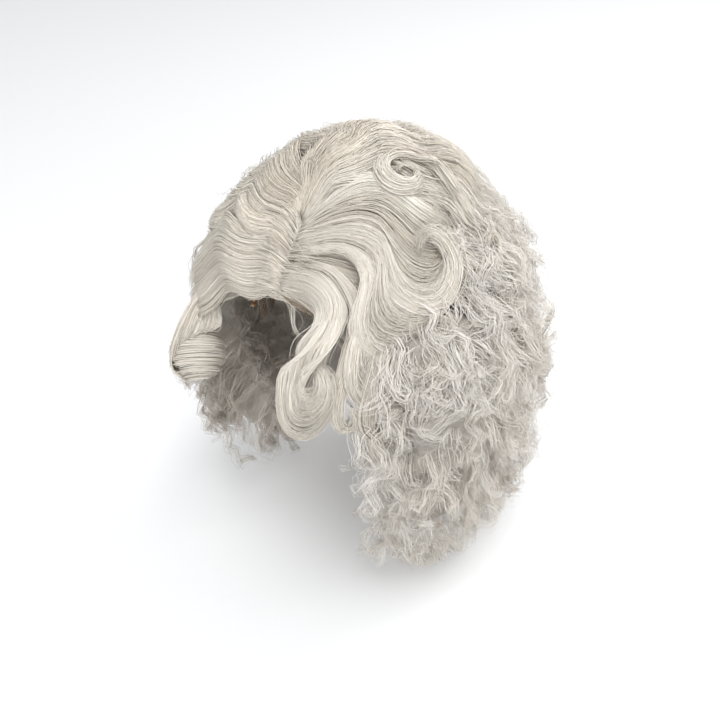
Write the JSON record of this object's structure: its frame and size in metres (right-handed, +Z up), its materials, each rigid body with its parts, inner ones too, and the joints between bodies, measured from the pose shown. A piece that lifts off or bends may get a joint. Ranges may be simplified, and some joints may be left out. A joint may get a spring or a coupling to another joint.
{
  "type": "costume wig",
  "caption": "Shoulder-length curly white costume wig: sewn lace-front cap with wefts, combs and adjuster straps, and waved hair with hanging curls.",
  "frame": {"origin": "middle of the wearer's head on the headband line, where the cap sits, as the head_seat mount", "axes": "+Z up to the crown, -Y the way the face looks, +X to the wearer's left"},
  "size_m": [0.315, 0.2855, 0.3735],
  "materials": {
    "lace": "fine hand-knotted lace, flesh tone",
    "cap_net": "open stretch net, beige",
    "edge_tape": "folded cotton tape, stitched",
    "weft_track": "machine-sewn weft header",
    "elastic": "woven elastic",
    "comb": "moulded plastic, light brown",
    "steel": "nickel-plated wire and strip",
    "hair_silky": "silky fibre, cream white",
    "hair_frizzy": "frizzy fibre, pale grey white"
  },
  "bodies": {
    "cap": {"lace_front": "lace", "parting_strip": "lace", "crown_net": "cap_net", "side_panel_left": "cap_net", "side_panel_right": "cap_net", "back_panel": "cap_net", "nape_panel": "cap_net", "edge_tape": "edge_tape", "weft_row_1": "weft_track", "weft_row_2": "weft_track", "weft_row_3": "weft_track", "weft_row_4": "weft_track", "weft_row_5": "weft_track", "weft_row_6": "weft_track", "weft_row_7": "weft_track", "weft_row_8": "weft_track", "weft_row_9": "weft_track", "temple_comb_left": "comb", "temple_comb_right": "comb", "nape_comb": "comb", "adjuster_strap_left": "elastic", "adjuster_strap_right": "elastic", "hook_eyes_left": "steel", "hook_eyes_right": "steel", "crown_hair": "hair_silky", "front_wave_left": "hair_silky", "front_wave_right": "hair_silky", "upper_hair_left": "hair_frizzy", "upper_hair_back": "hair_frizzy", "upper_hair_right": "hair_frizzy", "side_hair_left": "hair_frizzy", "mid_hair_back": "hair_frizzy", "side_hair_right": "hair_frizzy", "cheek_curls_left": "hair_frizzy", "low_hair_back": "hair_frizzy", "cheek_curls_right": "hair_frizzy", "shoulder_curls_left": "hair_frizzy", "nape_curls": "hair_frizzy", "shoulder_curls_right": "hair_frizzy", "pin_curl": "hair_silky"},
    "brow_curl_left": {"brow_curl_left": "hair_silky"},
    "temple_curl_right": {"temple_curl_right": "hair_silky"},
    "ear_tab_left": {"ear_tab_left": "lace", "tab_stay_left": "steel"},
    "ear_tab_right": {"ear_tab_right": "lace", "tab_stay_right": "steel"},
    "strap_slider_left": {"strap_slider_left": "steel"},
    "strap_slider_right": {"strap_slider_right": "steel"},
    "strap_hook_left": {"strap_hook_left": "steel"},
    "strap_hook_right": {"strap_hook_right": "steel"}
  },
  "joints": [
    {"name": "brow_curl_swing", "type": "hinge", "parent": "cap", "child": "brow_curl_left", "pos_m": [0.042, -0.109, 0.062], "axis": [0, 1, 0], "range_deg": [-10, 10]},
    {"name": "temple_curl_swing", "type": "hinge", "parent": "cap", "child": "temple_curl_right", "pos_m": [-0.072, -0.106, 0.034], "axis": [0, 1, 0], "range_deg": [-10, 10]},
    {"name": "ear_tab_left_flex", "type": "hinge", "parent": "cap", "child": "ear_tab_left", "pos_m": [0.07425, -0.02715, 0.01655], "axis": [-0.2302, -0.9728, 0.0245], "range_deg": [-4, 12]},
    {"name": "ear_tab_right_flex", "type": "hinge", "parent": "cap", "child": "ear_tab_right", "pos_m": [-0.07425, -0.02715, 0.01655], "axis": [-0.2302, 0.9728, -0.0245], "range_deg": [-4, 12]},
    {"name": "strap_slider_left_slide", "type": "slide", "parent": "cap", "child": "strap_slider_left", "axis": [0.7391, -0.6736, 0], "range_m": [-0.008, 0.009]},
    {"name": "strap_slider_right_slide", "type": "slide", "parent": "cap", "child": "strap_slider_right", "axis": [-0.7391, -0.6736, 0], "range_m": [-0.008, 0.009]},
    {"name": "strap_hook_left_turn", "type": "hinge", "parent": "cap", "child": "strap_hook_left", "pos_m": [0.0281, 0.0682, -0.0497], "axis": [0.2974, 0.3263, 0.8973], "range_deg": [0, 40]},
    {"name": "strap_hook_right_turn", "type": "hinge", "parent": "cap", "child": "strap_hook_right", "pos_m": [-0.0281, 0.0682, -0.0497], "axis": [0.2974, -0.3263, -0.8973], "range_deg": [0, 40]}
  ]
}
